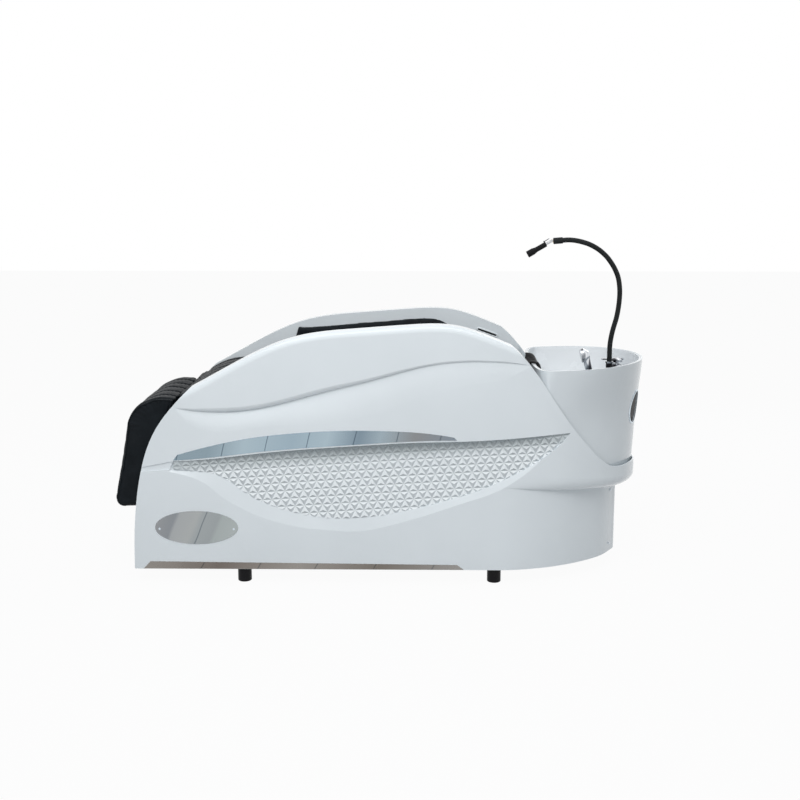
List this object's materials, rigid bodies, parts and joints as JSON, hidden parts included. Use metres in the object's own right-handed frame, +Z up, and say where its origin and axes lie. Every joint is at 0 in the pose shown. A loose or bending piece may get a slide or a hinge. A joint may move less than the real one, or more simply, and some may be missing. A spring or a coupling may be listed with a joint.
{
  "type": "hair washing bed",
  "caption": "Salon shampoo bed: moulded shell on a steel frame, black cushions with a hinged leg rest, and a rear wash basin with mixer, hand shower and gooseneck spray.",
  "frame": {"origin": "on the floor at the middle of the bounding box", "axes": "+X from the leg rest towards the basin, +Y towards the bed's right side, +Z up"},
  "size_m": [1.9396, 0.6444, 1.2357],
  "materials": {
    "shell_plastic": "gloss gelcoat over moulded glass fibre",
    "bowl_plastic": "gloss gelcoat",
    "trim_chrome": "polished stainless sheet",
    "leather": "black upholstery leather, fine grain",
    "neck_rubber": "soft matte moulded pad",
    "board_wood": "plywood",
    "frame_steel": "black powder coat",
    "bright_steel": "zinc plated or stainless",
    "black_plastic": "satin moulded",
    "fitting_chrome": "polished plating",
    "white_plastic": "gloss moulded",
    "black_rubber": "satin sheath",
    "brass": "turned"
  },
  "bodies": {
    "root": {"left_side_shell": "shell_plastic", "right_side_shell": "shell_plastic", "left_relief_panel": "shell_plastic", "right_relief_panel": "shell_plastic", "rear_service_panel": "shell_plastic", "basin_tub": "shell_plastic", "wash_bowl": "bowl_plastic", "left_lens_trim": "trim_chrome", "right_lens_trim": "trim_chrome", "left_kick_trim": "trim_chrome", "right_kick_trim": "trim_chrome", "left_oval_plate": "trim_chrome", "right_oval_plate": "trim_chrome", "plate_screws": "trim_chrome", "service_screws": "trim_chrome", "access_bezel": "trim_chrome", "left_side_bolster": "leather", "right_side_bolster": "leather", "seat_cushion": "leather", "back_cushion": "leather", "neck_cushion": "neck_rubber", "seat_board": "board_wood", "back_board": "board_wood", "base_frame": "frame_steel", "pivot_ears": "frame_steel", "pivot_pin": "bright_steel", "pin_clips": "bright_steel", "drain_flange": "bright_steel", "feet": "black_plastic", "front_panel": "black_plastic", "access_plug": "black_plastic", "bottle_trap": "black_plastic", "drain_nut": "black_plastic", "drain_outlet": "black_plastic", "deck_nuts": "black_plastic", "gooseneck_base": "black_plastic", "mixer_body": "fitting_chrome", "shower_holder": "fitting_chrome", "hot_hose": "black_rubber", "cold_hose": "black_rubber", "feed_hose": "black_rubber", "inlet_tails": "brass"},
    "legrest": {"legrest_cushion": "leather", "legrest_board": "board_wood", "legrest_arms": "frame_steel"},
    "mixer_swivel": {"mixer_stem": "bright_steel"},
    "mixer_lever": {"mixer_lever": "fitting_chrome", "mixer_pin": "bright_steel"},
    "hand_shower": {"hand_shower": "fitting_chrome", "shower_face": "white_plastic"},
    "gooseneck": {"gooseneck_collar": "fitting_chrome", "gooseneck_tube": "black_rubber", "gooseneck_ferrule": "black_rubber", "nozzle_joint": "brass"},
    "nozzle": {"nozzle_stem": "bright_steel", "nozzle_pin": "bright_steel", "nozzle_grip": "black_plastic", "nozzle_tip": "black_plastic"},
    "nozzle_lever": {"nozzle_lever": "fitting_chrome"},
    "strainer": {"strainer": "bright_steel"}
  },
  "joints": [
    {"name": "legrest_hinge", "type": "hinge", "parent": "root", "child": "legrest", "pos_m": [-0.79, 0, 0.56], "axis": [0, 1, 0], "range_deg": [0, 55]},
    {"name": "mixer_turn", "type": "hinge", "parent": "root", "child": "mixer_swivel", "pos_m": [0.886, 0.052, 0.74], "axis": [0, 0, 1], "range_deg": [-45, 25]},
    {"name": "mixer_lift", "type": "hinge", "parent": "mixer_swivel", "child": "mixer_lever", "pos_m": [0.886, 0.052, 0.765], "axis": [0, 1, 0], "range_deg": [0, 12]},
    {"name": "shower_lift", "type": "slide", "parent": "root", "child": "hand_shower", "axis": [0, 0, 1], "range_m": [0, 0.12]},
    {"name": "gooseneck_turn", "type": "hinge", "parent": "root", "child": "gooseneck", "pos_m": [0.851, 0, 0.73], "axis": [0, 0, 1], "range_deg": [-100, 100]},
    {"name": "nozzle_tilt", "type": "hinge", "parent": "gooseneck", "child": "nozzle", "pos_m": [0.6245, 0, 1.222], "axis": [0, 1, 0], "range_deg": [-30, 25]},
    {"name": "thumb_press", "type": "hinge", "parent": "nozzle", "child": "nozzle_lever", "pos_m": [0.59567, 0, 1.21926], "axis": [0, 1, 0], "range_deg": [0, 8], "stiffness_Nm_per_rad": 0.02},
    {"name": "strainer_lift", "type": "slide", "parent": "root", "child": "strainer", "axis": [0, 0, 1], "range_m": [0, 0.03]}
  ]
}
